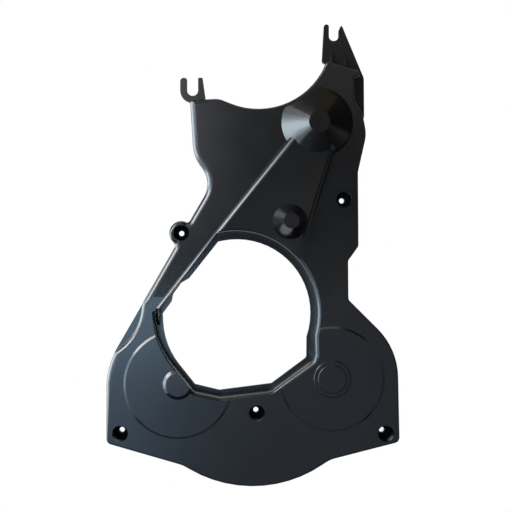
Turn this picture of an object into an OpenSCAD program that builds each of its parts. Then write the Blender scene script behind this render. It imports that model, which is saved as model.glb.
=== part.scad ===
// Timing cover: the one-piece black plastic moulding that closes off an engine's timing belt.
// It is a shallow tray, open at the back and along its hollow top edge, where the belt
// runs on into the upper cover. The lower body is level and the upper plate leans back.
// A large window clears the crank pulley, two domes clear pulley bolts, and five sunk
// bolt seats and two forked ears hold it to the engine.
// It is drawn lying on its mounting plane, front up, and turned upright at the end.

/* [Shell] */
// Depth of the lower body, from the mounting plane to its face
depth = 32; // [30:0.5:34]
// Thickness of the moulded wall
wall = 2.5; // [2.2:0.1:2.8]
// Rounding of the front edge on the right, at the top and at the bottom
edge_r = 2; // [1.5:0.25:2.5]
// Rounding of the front edge down the left side
left_edge_r = 5.5; // [4.5:0.25:6]
// Backward lean of the upper plate, in degrees
lean = 3; // [2.5:0.25:3.5]

/* [Window] */
// Radius of the window's wall
window_r = 82.5; // [82:0.25:83]
// Rounding of the window's lip
lip_r = 3; // [2:0.25:3.25]
// Rounding of the lip along the rib and down the left side
rib_lip_r = 1; // [0.6:0.1:1.4]
// Radius of the opening inside the ledge
opening_r = 75.6; // [75:0.2:76.4]
// Thickness of the ledge at the foot of the window's wall
ledge_t = 3; // [2.5:0.25:4]

/* [Pad and domes] */
// Height of the pad's plane over the mounting plane, above the origin
pad_z = 31.6; // [31.2:0.1:32]
// Sideways lean of the pad, in degrees, down to the right
pad_lean = 1.95; // [1.8:0.05:2.1]
// Rounding of the pad's edge
pad_r = 6; // [4:0.5:6.5]
// Rounding of the rib's outer side at its lower end
rib_r = 4; // [3:0.25:4.5]
// Height of the large dome's flat top over the mounting plane
large_dome_z = 46; // [40:1:50]
// Radius of the large dome's flat top
large_dome_top_r = 10.5; // [8:0.5:12]
// Height of the small dome's flat top over the mounting plane
small_dome_z = 54; // [46:1:58]
// Radius of the small dome's flat top
small_dome_top_r = 7.8; // [6:0.2:9]

/* [Pulley steps] */
// Radius of the left pulley step
left_step_r = 53.5; // [51:0.5:55]
// Radius of the right pulley step
right_step_r = 51.5; // [49:0.5:53]
// Height of the pulley steps over the face
step_h = 1.2; // [0.6:0.1:2]
// Width of the slope round each pulley step
step_run = 2.2; // [1:0.2:3]
// Height of the hub caps over the face
cap_h = 3.6; // [2.5:0.1:5]

/* [Bolts and ears] */
// Diameter of the bolt holes, for M5
bolt_d = 5.3; // [5.1:0.1:5.8]
// Diameter of the sunk bolt seats
seat_d = 16; // [15:0.5:17]
// Thickness of the floor under each bolt head
seat_t = 5; // [4:0.5:7]
// Thickness of the forked ears
ear_t = 4; // [3:0.25:5]
// Width of the left ear's slot
left_slot = 11.2; // [10:0.2:12]
// Width of the right ear's slot
right_slot = 9.8; // [9:0.2:10.4]

/* [Hidden] */
$fn = 64;
plastic = "#26282a";
// Height above every face, for cuts that run out at the front
clear = 70;
// Half-length of the blocks that carry the faces, past every edge of the part
reach = 430;
// Facets in a quarter of a rounded edge
edge_steps = 4;
// Height on the part of the bend between lower body and upper plate
bend_y = 116.2;

// Bolt axes: the origin's own, lower left and right, left edge and right edge
bolts = [[0, 0], [-137, -20.5], [129, -20.5], [-76, 180.5], [88, 214]];
// Web that ties each of the bolt tubes to the nearest wall: its size and its centre
webs = [[3, 14, 0, 10], [12, 12, -143, -27], [12, 12, 135, -26], [6, 12, -72, 180], [14, 7, 94, 214]];

// Outline of the front, anticlockwise from the lower left corner, as [x, y, corner radius]
right_side = [
    [-150.8, -30.4, 6],
    [-74, -52.6, 30],
    [1, -96.5, 125],
    [73, -47, 30],
    [143, -29, 6],
    [141, 64.5, 70],
    [91.7, 113.5, 5],
    [91.7, bend_y, 0],
    [91.7, 152.5, 5],
    [102.2, 167, 6],
    [102.2, 242, 12],
    [111.2, 280.5, 35],
    [107.5, 299.5, 10],
    [99, 315.5, 8],
];
// Bar at the right end of the plate's top edge, and the hollow top edge
top_edge = [
    [98.6, 337.5, 1.5],
    [104.8, 338.8, 1.2],
    [103, 344.9, 2],
    [71.5, 355, 3],
    [40.5, 284.5, 74],
    [-37.5, 316.3, 20],
];
left_upper = [
    [-67.3, 315.8, 3],
    [-63.8, 259.5, 38],
    [-44.6, 232, 27],
    [-68.6, 190.6, 4],
];
// Boss round the bolt at the left edge
left_boss = [
    [-81.2, 193.1, 10.9],
    [-89.5, 178.7, 10.9],
];
left_lower = [
    [-81.7, 167.8, 4],
    [-111.3, bend_y, 0],
    [-115.3, 109, 15],
    [-118, 80, 55],
    [-142, 62, 10],
    [-151.3, 41, 75],
];
outline = concat(
    edged(concat(right_side, top_edge), edge_r),
    edged(left_upper, left_edge_r),
    edged(left_boss, edge_r),
    edged(left_lower, left_edge_r)
);
// The hollow's top corners stand clear of the front's, which leaves the top edge open.
// Down the left side it steps in under the rounded edge, to keep the wall even
hollow_top = [[98.6, 346, 4], [14.4, 371.5, 0], [-68, 340, 0]];
hollow_step = 1.8;
hollow = concat(
    edged(concat(right_side, hollow_top), 0),
    edged(left_upper, hollow_step),
    edged(left_boss, 0),
    edged(left_lower, hollow_step)
);

// Window's wall: a circle cut by a chord under the pad's rib, and straight sides at the
// bottom. Where the rib ends, a slit runs up between its tail and the face. The corners are
// placed about the circle's centre in shares of its radius
window_c = [-21, 100];
chord_top = in_window(-0.2388, 0.9709);
chord_end = in_window(-0.9515, 0.023);
window_arc_right = [-14, 102];
window_arc_left = [186, 219.4];
chord_dir = unit(chord_top - chord_end);
rib_dir = [0.6196, 0.785];
rib_out = left_of(rib_dir);
rib_w = 4.3;
rib_end = chord_end + rib_w * rib_out;
// Length over which the rib's lip drops to the face at the rib's end
rib_drop = 1.8;
rib_foot = chord_end + rib_drop * chord_dir;
window_wall = concat(
    edged([arc_point(window_c, window_r, window_arc_right)], lip_r),
    edged(
        [
            cornered(chord_top, 2),
            cornered(rib_foot, 0),
            cornered(chord_end, 1),
            cornered(in_window(-1.0109, 0.0121), 1.5),
            arc_point(window_c, window_r, window_arc_left),
        ],
        rib_lip_r
    ),
    edged(
        [
            cornered(in_window(-0.51, -0.96), 6),
            cornered(in_window(-0.1867, -1.0303), 15),
            cornered(in_window(0.4315, -0.9564), 10),
            cornered(in_window(0.9697, -0.56), 10),
            cornered(in_window(0.9636, -0.2691), 6),
        ],
        lip_r
    )
);
// Tail that the rib runs out in, down to the ledge: its plan, and its profile as [y, z],
// both from the chord's end
tail_plan = [[-2, 2.1], [-2, -5.9], [-1, -16.9], [1.3, -16.9], [0.8, -5.9], [1.1, 2.1]];
tail_profile = [
    [-17.9, 0],
    [2.1, 0],
    [2.1, depth + 2.4],
    [-0.9, depth + 1.6],
    [-4.4, depth - 1],
    [-7.9, 0.8 * depth],
    [-11.9, 0.5 * depth],
    [-15.9, ledge_t],
];
// Opening inside the ledge, with two tabs and a notch between them on the chord
opening_c = [-20.4, 98.8];
opening_arc_right = [-19, 101];
opening_arc_left = [184, 225];
opening = [
    arc_point(opening_c, opening_r, opening_arc_right),
    [-38.5, 172.3, 1],
    [-68.4, 134.6, 2],
    [-76.6, 129.8, 3],
    [-84.9, 118.2, 2],
    [-86.2, 111, 2],
    [-95.5, 98.4, 2],
    arc_point(opening_c, opening_r, opening_arc_left),
    [-62.3, 26, 1],
    [-37.3, 20, 3],
    [16.2, 26.9, 2],
    [52, 53.5, 4],
    [52.2, 74.5, 1],
];
// Raised pad from the rib to the large dome; the window takes its lower side away
pad_length = 238;
pad_top = rib_end + pad_length * rib_dir;
pad = concat(
    edged([cornered(rib_end, 1.5), [-85, 88, 0]], rib_r),
    edged([[42, 144.4, 0], [80, 267, 0], cornered(pad_top, 0)], pad_r)
);
// Side of the hollow behind the pad, in from the pad's edge
pad_wall = 4;

large_dome_c = [61.2, 290];
large_dome_r = 36;
// Strip of plate left between the outline and the large dome
dome_trim = 4;
small_dome_c = [33, 191.7];
small_dome_r = 17.5;
// Pulley steps, and the tiers of the hub caps on them as [radius at the foot, radius at
// the top, height over the face]
left_step_c = [-79, 28.7];
left_cap = [[18.5, 12, cap_h]];
right_step_c = [75, 34.2];
right_cap = [[20, 18.2, (step_h + cap_h) / 2], [16.2, 14, cap_h]];

// Web behind the plate that ties the left ear's foot to the tray: its corner and its length
left_web = [-52, 297];
left_web_length = 17;
// Left ear, its foot behind the plate and its slot, as [x, y, corner radius]
left_ear_x = -64.8;
left_ear_path = [
    [-77.6, 314.7, 12.8],
    [-64.8, 314.7, 0],
    [-64.8, left_web.y, 0],
    [left_web.x, left_web.y, 0],
    [-51.4, 318, 4],
    [-54.6, 340.6, 1.5],
    [left_ear_x + left_slot / 2, 340.6, 1.5],
    [left_ear_x + left_slot / 2, 321.9, left_slot / 2 - 0.1],
    [left_ear_x - left_slot / 2, 321.9, left_slot / 2 - 0.1],
    [left_ear_x - left_slot / 2, 340.4, 2.8],
    [-77.6, 340.4, 3.4],
];
// Right ear, its slot and the flange that runs down from it
right_ear_x = 80;
right_ear_path = [
    [67.8, 356, 3],
    [95, 344, 0],
    [95, 300, 0],
    [107, 290, 0],
    [111.3, 300, 8],
    [111, 340, 8],
    [87.9, 395.2, 1.1],
    [right_ear_x + right_slot / 2, 388.4, 4],
    [right_ear_x + right_slot / 2, 378.2, right_slot / 2 - 0.1],
    [right_ear_x - right_slot / 2, 378.2, right_slot / 2 - 0.1],
    [right_ear_x - right_slot / 2, 395.2, 2.2],
    [70, 395.2, 2.6],
];
// Flange behind the lower left shoulder
left_flange = [[-112.5, 115], [-145.2, 58.5], [-136, 56], [-108, 90]];
flange_t = 3;
// Foot round the boss at the left edge
boss_foot_d = 24.6;
boss_foot_h = 16;
// Gussets between the right ear and the end wall: foot, length and height
gussets = [[75.2, 352.5, 17, 12], [88.8, 347.5, 17, 12]];
gusset_t = 2;
gusset_root = 2;
gusset_lean = 14;

// Path geometry: corners given as [x, y, radius] become arcs, and a path can be drawn
// inset by d, with its arcs kept concentric
function point(path, i) = let (p = path[(i + len(path)) % len(path)]) [p.x, p.y];
function unit(v) = v / norm(v);
function left_of(v) = [-v.y, v.x];
function turned(v, a) = [v.x * cos(a) - v.y * sin(a), v.x * sin(a) + v.y * cos(a)];
// Corner at which the tangents of an arc about c, over a span of angles, meet
function arc_point(c, r, span) =
    let (far = r / cos((span[1] - span[0]) / 2), mid = (span[0] + span[1]) / 2)
    [c.x + far * cos(mid), c.y + far * sin(mid), r];
// Corner with a radius at a point, and a point about the window's centre in shares of its radius
function cornered(p, r) = [p.x, p.y, r];
function in_window(x, y) = window_c + window_r * [x, y];
// Points on an arc, from its turn and radius
function arc_steps(r, a) = max(1, ceil(abs(a) / (r > 50 ? 6 : r > 14 ? 9 : 15)));
function corner(path, i, d) =
    let (
        p = point(path, i),
        u = unit(p - point(path, i - 1)),
        v = unit(point(path, i + 1) - p),
        a = atan2(cross(u, v), u * v),
        side = sign(a),
        q = p + d * (left_of(u) + left_of(v)) / (1 + u * v),
        r0 = path[i][2],
        r = max(r0 - d * side, 0.4),
        spoke = side * r * left_of(u),
        c = q - r * tan(abs(a) / 2) * u + spoke,
        n = arc_steps(r0, a)
    )
    r0 == 0 ? [q] : [for (k = [0:n]) c - turned(spoke, a * k / n)];
function ring(path, d = 0) = [for (i = [0:len(path) - 1]) each corner(path, i, d)];
// The same path with a rounding or a step given to each of its corners
function edged(path, r) = [for (p = path) [p.x, p.y, p[2], r]];

// Heights of the front's faces, of the pad and of the window's lip over the mounting plane
function face_z(y) = depth - max(0, y - bend_y) * tan(lean);
function pad_face_z(x) = pad_z - x * tan(pad_lean);
function lip_z(p) =
    (p - chord_end) * rib_dir > 0.6 * rib_drop ? max(face_z(p.y), pad_face_z(p.x)) : depth;

// Quarter round as [distance from the wall, drop below the face]; its end facets run on
// past the wall and the face, so that they cross both at an angle
function quarter(r) =
    let (
        arc = [for (k = [0:edge_steps]) let (a = 90 * k / edge_steps) r * [1 - cos(a), 1 - sin(a)]],
        over = 0.3
    )
    [
        arc[0] + over * (arc[0] - arc[1]),
        for (k = [1:edge_steps - 1]) arc[k],
        arc[edge_steps] + over * (arc[edge_steps] - arc[edge_steps - 1]),
    ];

// Section of the stock outside a quarter round, in the same terms
function round_section(r) =
    let (q = quarter(r), out = -2)
    [
        [out, out],
        [q[edge_steps].x, out],
        for (k = [edge_steps:-1:0]) q[k],
        [out, q[0].y],
    ];

// Faces between neighbouring rings of n points each, from ring k to ring l
function band(n, k, l) = [
    for (i = [0:n - 1])
        let (j = (i + 1) % n)
        each [[k * n + i, l * n + i, k * n + j], [k * n + j, l * n + i, l * n + j]]
];

// Solid skinned over rings of equal length, from the bottom one up
module skin(rings) {
    n = len(rings[0]);
    last = len(rings) - 1;
    sides = [for (k = [0:last - 1]) each band(n, k, k + 1)];
    bottom = [for (i = [0:n - 1]) i];
    top = [for (i = [n - 1:-1:0]) last * n + i];
    polyhedron([for (r = rings) each r], concat([bottom, top], sides), convexity = 10);
}

// Closed loop of stock that leaves a round of radius r along an edge when it is cut away.
// The loop follows rings, one for each point of its section
module loop_stock(rings) {
    n = len(rings[0]);
    m = len(rings);
    polyhedron([for (r = rings) each r], [for (k = [0:m - 1]) each band(n, k, (k + 1) % m)], convexity = 10);
}

// Everything below the front's faces, set back by t
module below_face(t) {
    rotate([90, 0, 90])
        translate([0, 0, -reach])
            linear_extrude(2 * reach)
                polygon([
                    [-reach, -1],
                    [reach, -1],
                    [reach, face_z(reach) - t],
                    [bend_y, depth - t],
                    [-reach, depth - t],
                ]);
}

// Everything below the pad's face, set back by t
module below_pad(t) {
    translate([0, reach, 0])
        rotate([90, 0, 0])
            linear_extrude(2 * reach)
                polygon([
                    [-reach, 0],
                    [reach, 0],
                    [reach, pad_face_z(reach) - t],
                    [-reach, pad_face_z(-reach) - t],
                ]);
}

// Outside of the tray, and the stock that its rounded front edge loses
module outside() {
    intersection() {
        linear_extrude(clear)
            polygon(ring(outline));
        below_face(0);
    }
}

module front_edge() {
    loop_stock([
        for (k = [0:edge_steps + 3])
            [
                for (i = [0:len(outline) - 1])
                    let (e = round_section(outline[i][3])[k])
                    for (p = corner(outline, i, e.x)) [p.x, p.y, face_z(p.y) - e.y]
            ]
    ]);
}

// Hollow behind the plates, open at the back and at the top
module inside() {
    for (share = [0, 1])
        intersection() {
            translate([0, 0, -1])
                linear_extrude(clear)
                    polygon([
                        for (i = [0:len(hollow) - 1])
                            each corner(hollow, i, wall + share * hollow[i][3])
                    ]);
            below_face(wall + (1 - share) * hollow_step);
        }
}

// Raised pad, and the hollow behind it
module pad_outside() {
    flare = 0.4;
    intersection() {
        skin([
            [for (p = ring(pad, -flare)) [p.x, p.y, depth / 2]],
            for (k = [0:edge_steps])
                [
                    for (i = [0:len(pad) - 1])
                        let (e = quarter(pad[i][3])[k])
                        for (p = corner(pad, i, e.x)) [p.x, p.y, pad_face_z(p.x) - e.y]
                ],
        ]);
        below_pad(0);
    }
}

module pad_inside() {
    intersection() {
        translate([0, 0, depth / 2])
            linear_extrude(clear)
                polygon(ring(pad, pad_wall));
        below_pad(wall);
    }
}

// Dome as a cone frustum that starts inside the plate, base_r wide at base_z, with its
// top and its side set back by t
module dome(c, base_z, base_r, top_z, top_r, t) {
    slope = (base_r - top_r) / (top_z - base_z);
    side = t * sqrt(1 + slope * slope);
    sunk = 6;
    translate([c.x, c.y, base_z - sunk])
        cylinder(
            h = top_z - t - base_z + sunk,
            r1 = base_r + sunk * slope - side,
            r2 = top_r + t * slope - side
        );
}

module large_dome(t = 0) {
    intersection() {
        dome(large_dome_c, face_z(large_dome_c.y), large_dome_r, large_dome_z, large_dome_top_r, t);
        linear_extrude(clear)
            polygon(ring(outline, dome_trim + t));
    }
}

module small_dome(t = 0) {
    dome(small_dome_c, pad_face_z(small_dome_c.x), small_dome_r, small_dome_z, small_dome_top_r, t);
}

// Shallow steps that follow the two lower pulleys, with their hub caps
module pulley_step(c, r, cap) {
    translate([c.x, c.y, depth - step_h]) {
        cylinder(h = 2 * step_h, r1 = r + 1.5 * step_run, r2 = r - step_run / 2);
        for (tier = cap)
            cylinder(h = step_h + tier[2], r1 = tier[0], r2 = tier[1]);
    }
}

// Forked ears at the back, with the flanges and gussets that join them to the tray
module left_ear() {
    linear_extrude(ear_t)
        polygon(ring(left_ear_path));
}

module left_ear_web() {
    translate([left_web.x - wall, left_web.y, 0])
        cube([wall, left_web_length, depth]);
}

module right_ear() {
    linear_extrude(ear_t)
        polygon(ring(right_ear_path));
    for (g = gussets)
        translate([g[0], g[1], 0])
            rotate([0, 0, -gusset_lean])
                rotate([90, 0, 90])
                    linear_extrude(gusset_t)
                        polygon([
                            [-gusset_root, ear_t / 2],
                            [g[2], ear_t / 2],
                            [0, ear_t + g[3]],
                            [-gusset_root, ear_t + g[3]],
                        ]);
}

module flange() {
    linear_extrude(flange_t)
        polygon(left_flange);
}

module boss_foot() {
    translate([bolts[3].x, bolts[3].y, 0])
        cylinder(h = boss_foot_h, d = boss_foot_d);
}

// What stands inside the hollow: the window's wall, the bolt tubes and their webs
module standing() {
    linear_extrude(clear)
        polygon(ring(window_wall, -wall));
    for (i = [0:len(bolts) - 1]) {
        translate([bolts[i].x, bolts[i].y, 0])
            cylinder(h = clear, d = seat_d + 2 * wall);
        translate([webs[i][2] - webs[i][0] / 2, webs[i][3] - webs[i][1] / 2, 0])
            cube([webs[i][0], webs[i][1], clear]);
    }
    left_ear();
    left_ear_web();
}

// Window down to the ledge, and the stock that its rounded lip loses
module window() {
    translate([0, 0, ledge_t])
        linear_extrude(clear)
            polygon(ring(window_wall));
}

module window_lip() {
    loop_stock([
        for (k = [edge_steps + 3:-1:0])
            [
                for (i = [0:len(window_wall) - 1])
                    let (e = round_section(window_wall[i][3])[k])
                    for (p = corner(window_wall, i, -e.x)) [p.x, p.y, lip_z(p) - e.y]
            ]
    ]);
}

// Tail of the rib, which runs down to the ledge inside the window
module rib_tail() {
    translate([chord_end.x, chord_end.y, 0])
        intersection() {
            linear_extrude(clear)
                polygon(tail_plan);
            rotate([90, 0, 90])
                translate([0, 0, -reach])
                    linear_extrude(2 * reach)
                        polygon(tail_profile);
        }
}

// Opening inside the ledge, right through
module window_opening() {
    translate([0, 0, -1])
        linear_extrude(clear)
            polygon(ring(opening));
}

// Sunk seats for the bolt heads, and the bolt holes
module bolt_seats() {
    for (b = bolts)
        translate([b.x, b.y, 0]) {
            translate([0, 0, seat_t])
                cylinder(h = clear, d = seat_d);
            translate([0, 0, -1])
                cylinder(h = clear, d = bolt_d);
        }
}

// Solid moulding before anything is cut away, and the hollow behind it
module stock() {
    outside();
    pad_outside();
    large_dome();
    small_dome();
    pulley_step(left_step_c, left_step_r, left_cap);
    pulley_step(right_step_c, right_step_r, right_cap);
    left_ear();
    right_ear();
    flange();
    boss_foot();
}

module belt_space() {
    difference() {
        union() {
            inside();
            pad_inside();
            large_dome(wall);
            small_dome(wall);
        }
        standing();
    }
}

module timing_cover() {
    color(plastic)
        rotate([90, 0, 0]) {
            difference() {
                stock();
                belt_space();
                front_edge();
                window();
                window_lip();
                window_opening();
                bolt_seats();
            }
            rib_tail();
        }
}

timing_cover();
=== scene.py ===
import math

import bpy
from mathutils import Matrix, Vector


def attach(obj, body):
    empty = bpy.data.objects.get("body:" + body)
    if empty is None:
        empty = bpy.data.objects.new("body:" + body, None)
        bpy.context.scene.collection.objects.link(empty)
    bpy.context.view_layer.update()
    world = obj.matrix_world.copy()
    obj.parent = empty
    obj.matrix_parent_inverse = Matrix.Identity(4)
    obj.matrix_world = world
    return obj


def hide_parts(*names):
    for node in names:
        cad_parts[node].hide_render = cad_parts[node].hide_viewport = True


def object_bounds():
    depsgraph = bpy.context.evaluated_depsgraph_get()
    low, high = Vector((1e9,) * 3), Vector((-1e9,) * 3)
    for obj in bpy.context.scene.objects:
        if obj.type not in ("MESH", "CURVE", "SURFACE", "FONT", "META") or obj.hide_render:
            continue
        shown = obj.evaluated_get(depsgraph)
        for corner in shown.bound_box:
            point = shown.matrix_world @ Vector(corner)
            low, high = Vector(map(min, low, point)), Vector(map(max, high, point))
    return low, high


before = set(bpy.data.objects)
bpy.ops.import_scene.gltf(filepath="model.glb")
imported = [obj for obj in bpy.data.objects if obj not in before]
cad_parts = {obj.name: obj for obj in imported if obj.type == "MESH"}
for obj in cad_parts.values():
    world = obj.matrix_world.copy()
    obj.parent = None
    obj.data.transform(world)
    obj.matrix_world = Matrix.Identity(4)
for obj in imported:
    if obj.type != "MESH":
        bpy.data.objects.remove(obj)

cad_low, cad_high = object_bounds()
scene = bpy.context.scene
scene.view_settings.view_transform = "Standard"


# The cover: one injection moulding in black talc-filled polypropylene, bolted to the front of
# the engine. Its shape is the CAD solid's. The sharp edges get the small rounding that a
# moulding tool leaves, and the facets are smoothed into continuous curves.
MERGE_DISTANCE = 0.000005
FLAT_ANGLE = math.radians(0.4)
FACE_Y = -0.032

bpy.ops.object.select_all(action="DESELECT")
moulding_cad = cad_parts["timing_cover"]
moulding_cad.select_set(True)
bpy.context.view_layer.objects.active = moulding_cad
bpy.ops.object.duplicate()
moulding = bpy.context.active_object
moulding.name = "moulding"
bpy.ops.mesh.customdata_custom_splitnormals_clear()
bpy.ops.object.mode_set(mode="EDIT")
bpy.ops.mesh.select_all(action="SELECT")
bpy.ops.mesh.remove_doubles(threshold=MERGE_DISTANCE)
bpy.ops.mesh.dissolve_limited(angle_limit=FLAT_ANGLE)
bpy.ops.object.mode_set(mode="OBJECT")

# Two gussets under the right ear have crests that are rounded right across, and the rims of
# the hub caps are rounded more than other edges.
GUSSETS_LOW = (0.073, -0.02, 0.345)
GUSSETS_HIGH = (0.1, -0.003, 0.375)
GUSSET_RISE = 0.006
GUSSET_ROUND = 0.0009
LEFT_CAP = (-0.079, 0.0287)
RIGHT_CAP = (0.075, 0.0342)
CAP_RIMS = [(LEFT_CAP, 0.012), (RIGHT_CAP, 0.0182), (RIGHT_CAP, 0.014)]
CAP_ROUND = 0.0012
RIM_REACH = 0.0002
ROUND_SEGMENTS = 4


def on_gusset_crest(a, b):
    """Tells the long sloping edges in the box that holds the two gussets, by their ends."""
    inside = all(
        low < at < high
        for end in (a, b)
        for low, at, high in zip(GUSSETS_LOW, end, GUSSETS_HIGH)
    )
    return inside and min(abs(a.y - b.y), abs(a.z - b.z)) > GUSSET_RISE


def on_cap_rim(a, b):
    """Tells the edges that run along a rim of either hub cap, by their ends."""
    return any(
        all(
            end.y < FACE_Y and abs(math.dist((end.x, end.z), centre) - radius) < RIM_REACH
            for end in (a, b)
        )
        for centre, radius in CAP_RIMS
    )


def round_edges(is_chosen, width, clamp):
    """Rounds the edges of the moulding whose two ends pass a test of place."""
    bpy.ops.object.mode_set(mode="EDIT")
    bpy.ops.mesh.select_all(action="DESELECT")
    bpy.ops.object.mode_set(mode="OBJECT")
    for edge in moulding.data.edges:
        edge.select = is_chosen(*(moulding.data.vertices[i].co for i in edge.vertices))
    bpy.ops.object.mode_set(mode="EDIT")
    bpy.ops.mesh.bevel(offset=width, segments=ROUND_SEGMENTS, affect="EDGES", clamp_overlap=clamp)
    bpy.ops.object.mode_set(mode="OBJECT")


round_edges(on_gusset_crest, GUSSET_ROUND, clamp=False)
round_edges(on_cap_rim, CAP_ROUND, clamp=True)

# Every other sharp edge has the tool's own small radius.
EDGE_ROUND = 0.0004
EDGE_SEGMENTS = 2
EDGE_ANGLE = math.radians(38)
bevel = moulding.modifiers.new("moulded edges", "BEVEL")
bevel.width = EDGE_ROUND
bevel.segments = EDGE_SEGMENTS
bevel.limit_method = "ANGLE"
bevel.angle_limit = EDGE_ANGLE
bevel.use_clamp_overlap = True
bpy.ops.object.modifier_apply(modifier=bevel.name)

# The bend between the lower body and the upper plate is shallow but crisp, so it is marked
# sharp by its place. Slopes round the pulley steps stay crisp by their angle.
BEND_Z = 0.1162
BEND_REACH = 0.0001
SHARP_ANGLE = math.radians(25)
for edge in moulding.data.edges:
    ends = [moulding.data.vertices[i].co for i in edge.vertices]
    edge.use_edge_sharp = all(
        math.dist((end.y, end.z), (FACE_Y, BEND_Z)) < BEND_REACH for end in ends
    )
bpy.ops.object.shade_smooth_by_angle(angle=SHARP_ANGLE)
flats = moulding.modifiers.new("true flats", "WEIGHTED_NORMAL")
flats.mode = "FACE_AREA"
flats.weight = 100
flats.keep_sharp = True
bpy.ops.object.modifier_apply(modifier=flats.name)

# The floors of the bolt seats lie deep, where the tool is spark-eroded and never polished, so
# they come out dull. An attribute carries that to the material.
BOLTS = [(0, 0), (-0.137, -0.0205), (0.129, -0.0205), (-0.076, 0.1805), (0.088, 0.214)]
SEAT_REACH = 0.0083
SEAT_FACING = -0.9
SEAT_ROUGHNESS = 0.95
seat_roughness = moulding.data.attributes.new("bolt_seat", "FLOAT", "FACE")
for face in moulding.data.polygons:
    from_axis = min(math.dist((face.center.x, face.center.z), bolt) for bolt in BOLTS)
    if from_axis < SEAT_REACH and face.normal.y < SEAT_FACING:
        seat_roughness.data[face.index].value = SEAT_ROUGHNESS


def linear(hex_colour):
    """Turns an sRGB hex colour into the linear RGBA that shader sockets take."""
    channels = [int(hex_colour[i:i + 2], 16) / 255 for i in (1, 3, 5)]
    return [c / 12.92 if c <= 0.04045 else ((c + 0.055) / 1.055) ** 2.4 for c in channels] + [1]


def add_node(tree, kind, settings=None, links=None):
    """Adds a node, sets its attributes or input sockets, and links sockets into its inputs."""
    node = tree.nodes.new(kind)
    for name, value in (settings or {}).items():
        if isinstance(name, int) or name in node.inputs:
            node.inputs[name].default_value = value
        else:
            setattr(node, name, value)
    for name, socket in (links or {}).items():
        tree.links.new(socket, node.inputs[name])
    return node


# Talc-filled polypropylene from a polished tool: black and semi-gloss, with an even grain that
# breaks up reflections, and faint clouding in colour and gloss where the melt flowed. The real
# grain is finer, and is drawn as coarse as it needs to show.
PLASTIC_BLACK = "#070707"
PLASTIC_CLOUD = "#0c0c0d"
PLASTIC_IOR = 1.49
GLOSS = (0.18, 0.24)
CLOUD_MM = 22
GRAIN_MM = 0.9
GRAIN_STRENGTH = 0.06
GRAIN_DEPTH = 0.0002

plastic = bpy.data.materials.new("moulded polypropylene")
plastic.use_nodes = True
tree = plastic.node_tree
shader = tree.nodes["Principled BSDF"]
shader.inputs["IOR"].default_value = PLASTIC_IOR
place = add_node(tree, "ShaderNodeTexCoord")
cloud = add_node(
    tree, "ShaderNodeTexNoise",
    {"Scale": 1000 / CLOUD_MM, "Detail": 4, "Roughness": 0.55},
    {"Vector": place.outputs["Object"]},
)
tint = add_node(tree, "ShaderNodeValToRGB", {}, {"Fac": cloud.outputs["Fac"]})
tint.color_ramp.elements[0].color = linear(PLASTIC_BLACK)
tint.color_ramp.elements[1].color = linear(PLASTIC_CLOUD)
gloss = add_node(
    tree, "ShaderNodeMapRange",
    {"To Min": GLOSS[0], "To Max": GLOSS[1]},
    {"Value": cloud.outputs["Fac"]},
)
seat = add_node(tree, "ShaderNodeAttribute", {"attribute_name": "bolt_seat"})
dulled = add_node(
    tree, "ShaderNodeMath", {"operation": "MAXIMUM"},
    {0: gloss.outputs["Result"], 1: seat.outputs["Fac"]},
)
grain = add_node(
    tree, "ShaderNodeTexNoise",
    {"Scale": 1000 / GRAIN_MM, "Detail": 2},
    {"Vector": place.outputs["Object"]},
)
bump = add_node(
    tree, "ShaderNodeBump",
    {"Strength": GRAIN_STRENGTH, "Distance": GRAIN_DEPTH},
    {"Height": grain.outputs["Fac"]},
)
tree.links.new(tint.outputs["Color"], shader.inputs["Base Color"])
tree.links.new(dulled.outputs["Value"], shader.inputs["Roughness"])
tree.links.new(bump.outputs["Normal"], shader.inputs["Normal"])
moulding.data.materials.clear()
moulding.data.materials.append(plastic)
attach(moulding, "root")
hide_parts("timing_cover")


# Floor: white paper that runs from under the cover back into the backdrop. The camera, and
# anything that mirrors it, sees it as white.
FLOOR_DROP = 0.12
FLOOR_SIZE = (6, 4)
PAPER_WHITE = "#e8e8e8"
PAPER_ROUGHNESS = 0.9

bpy.ops.object.select_all(action="DESELECT")
bpy.ops.mesh.primitive_plane_add(size=1, location=(0, FLOOR_SIZE[1] / 2, cad_low.z - FLOOR_DROP))
floor = bpy.context.active_object
floor.name = "floor"
floor.scale = (FLOOR_SIZE[0], FLOOR_SIZE[1], 1)
bpy.ops.object.transform_apply(location=True, scale=True)


def sorted_rays(tree):
    """Adds nodes that tell camera rays, and rays that the object mirrors or lets through."""
    rays = add_node(tree, "ShaderNodeLightPath")
    mirrored = add_node(
        tree, "ShaderNodeMath", {"operation": "ADD"},
        {0: rays.outputs["Is Glossy Ray"], 1: rays.outputs["Is Transmission Ray"]},
    )
    return rays.outputs["Is Camera Ray"], mirrored.outputs["Value"]


paper = bpy.data.materials.new("white paper")
paper.use_nodes = True
tree = paper.node_tree
paper_shader = tree.nodes["Principled BSDF"]
paper_shader.inputs["Base Color"].default_value = linear(PAPER_WHITE)
paper_shader.inputs["Roughness"].default_value = PAPER_ROUGHNESS
camera_ray, mirrored_ray = sorted_rays(tree)
seen = add_node(
    tree, "ShaderNodeMath", {"operation": "ADD", "use_clamp": True},
    {0: camera_ray, 1: mirrored_ray},
)
white = add_node(tree, "ShaderNodeEmission", {"Strength": 1})
surface = add_node(
    tree, "ShaderNodeMixShader", {},
    {0: seen.outputs["Value"], 1: paper_shader.outputs["BSDF"], 2: white.outputs["Emission"]},
)
tree.links.new(surface.outputs["Shader"], tree.nodes["Material Output"].inputs["Surface"])
floor.data.materials.append(paper)


# Room: a white backdrop behind the cover, which the camera sees all round, and a dim room in
# front of it, which is what the black plastic mirrors.
FILL = 0.03
BACKDROP_FROM = 0.6
ROOM_WHITE = linear("#ffffff")

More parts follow.
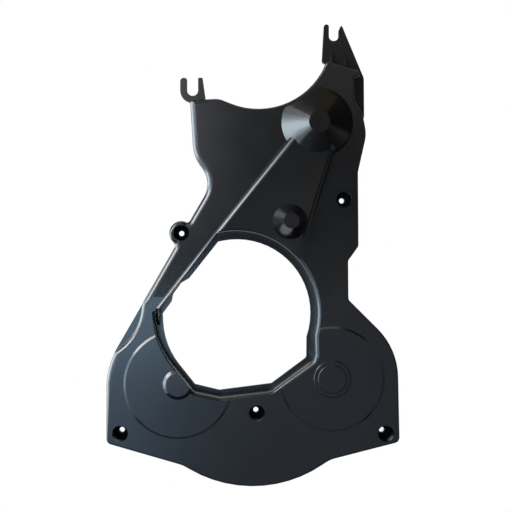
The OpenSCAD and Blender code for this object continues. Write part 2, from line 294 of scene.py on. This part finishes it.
room = bpy.data.worlds.new("room")
scene.world = room
room.use_nodes = True
tree = room.node_tree
fill = tree.nodes["Background"]
fill.inputs["Color"].default_value = ROOM_WHITE
fill.inputs["Strength"].default_value = FILL
backdrop = add_node(tree, "ShaderNodeBackground", {"Color": ROOM_WHITE, "Strength": 1})
towards = add_node(tree, "ShaderNodeTexCoord")
split = add_node(tree, "ShaderNodeSeparateXYZ", {}, {"Vector": towards.outputs["Generated"]})
behind = add_node(
    tree, "ShaderNodeMath", {"operation": "GREATER_THAN", 1: BACKDROP_FROM},
    {0: split.outputs["Y"]},
)
camera_ray, mirrored_ray = sorted_rays(tree)
mirrored_behind = add_node(
    tree, "ShaderNodeMath", {"operation": "MULTIPLY"},
    {0: mirrored_ray, 1: behind.outputs["Value"]},
)
seen = add_node(
    tree, "ShaderNodeMath", {"operation": "ADD", "use_clamp": True},
    {0: camera_ray, 1: mirrored_behind.outputs["Value"]},
)
surface = add_node(
    tree, "ShaderNodeMixShader", {},
    {
        0: seen.outputs["Value"],
        1: fill.outputs["Background"],
        2: backdrop.outputs["Background"],
    },
)
tree.links.new(surface.outputs["Shader"], tree.nodes["World Output"].inputs["Surface"])


# Lamps: windows and a pale wall down the left side, cool softboxes to the left behind the
# camera, dim panels to the right of it, on the right wall and below, and a ceiling that turns
# warm and weak at the back.
def add_lamp(name, place, target, size, brightness, colour):
    """Adds a rectangular panel that faces a target, as bright as given against white paper."""
    bpy.ops.object.select_all(action="DESELECT")
    bpy.ops.object.light_add(type="AREA", location=place)
    lamp = bpy.context.active_object
    lamp.name = name
    lamp.rotation_euler = (Vector(target) - Vector(place)).to_track_quat("-Z", "Y").to_euler()
    lamp.data.shape = "RECTANGLE"
    lamp.data.size, lamp.data.size_y = size
    lamp.data.energy = brightness * math.pi * size[0] * size[1]
    lamp.data.color = linear(colour)[:3]


add_lamp("side window", (-1.3, 0.1, 0.22), (0, 0.1, 0.22), (1.1, 0.65), 6, "#e0f4ff")
add_lamp("side curtain", (-1.33, 0.1, 0.15), (0, 0.1, 0.15), (1.4, 1.2), 4.5, "#e0f4ff")
add_lamp("side wall", (-1.36, 0.1, -0.05), (0, 0.1, -0.05), (1.7, 2.1), 3, "#e0f4ff")
add_lamp("front window", (-1.3, -1.25, 0.45), (0, -1.25, 0.45), (1.3, 1.3), 4, "#e6f2ff")
add_lamp("high window", (-1.25, -1.05, 1.15), (0, -0.3, 0.2), (1.4, 0.8), 17, "#f4f9ff")
add_lamp("low softbox", (-0.75, -2.0, -0.5), (-0.75, 0, -0.5), (1.1, 0.8), 2.0, "#b4dcff")
add_lamp("table edge", (-0.64, -2.0, 0.035), (-0.64, 0, 0.035), (1.12, 0.27), 6.3, "#bae0ff")
add_lamp("high softbox", (-0.6, -2.0, 0.8), (-0.6, 0, 0.8), (0.96, 0.6), 3.4, "#f4f6ff")
add_lamp("low panel", (0.37, -2.2, -0.35), (0.37, 0, -0.35), (1.05, 0.8), 0.5, "#dcebff")
add_lamp("middle panel", (0.6, -2.2, 0.25), (0.6, 0, 0.25), (0.75, 0.4), 0.4, "#fffaf0")
add_lamp("high panel", (0.5, -2.2, 1.04), (0.5, 0, 1.04), (0.6, 0.36), 0.6, "#fffaf0")
add_lamp("right wall", (1.5, -1.2, 0.0), (0, -1.2, 0.0), (1.2, 2.4), 0.5, "#e6efff")
add_lamp("bench", (0, -0.95, -1.2), (0, -0.95, 0), (2.2, 1.0), 0.4, "#e6efff")
add_lamp("ceiling", (-0.2, -0.85, 1.6), (-0.2, -0.85, 0), (1.6, 1.3), 1.4, "#fff8f0")
add_lamp("back ceiling", (-0.1, 0.8, 1.6), (-0.1, 0.8, 0), (2.4, 1.4), 0.32, "#ffcf70")


# Camera: square on to the mounting plane, as the cover was photographed. Its axis meets the
# photograph at one pixel and the part's origin lies at another, a millimetre to each pixel.
PIXELS = 512
SENSOR_MM = 36
FACE_DISTANCE = 1.05
MM_A_PIXEL = 1.0
AXIS_PX = (209, 265)
ORIGIN_PX = (257, 413.2)

camera_data = bpy.data.cameras.new("camera")
camera = bpy.data.objects.new("camera", camera_data)
scene.collection.objects.link(camera)
camera.location = (
    (AXIS_PX[0] - ORIGIN_PX[0]) * MM_A_PIXEL / 1000,
    FACE_Y - FACE_DISTANCE,
    (ORIGIN_PX[1] - AXIS_PX[1]) * MM_A_PIXEL / 1000,
)
camera.rotation_euler = (math.radians(90), 0, 0)
camera_data.sensor_width = SENSOR_MM
camera_data.lens = SENSOR_MM * FACE_DISTANCE / (PIXELS * MM_A_PIXEL / 1000)
camera_data.shift_x = (PIXELS / 2 - AXIS_PX[0]) / PIXELS
camera_data.shift_y = (AXIS_PX[1] - PIXELS / 2) / PIXELS
scene.camera = camera
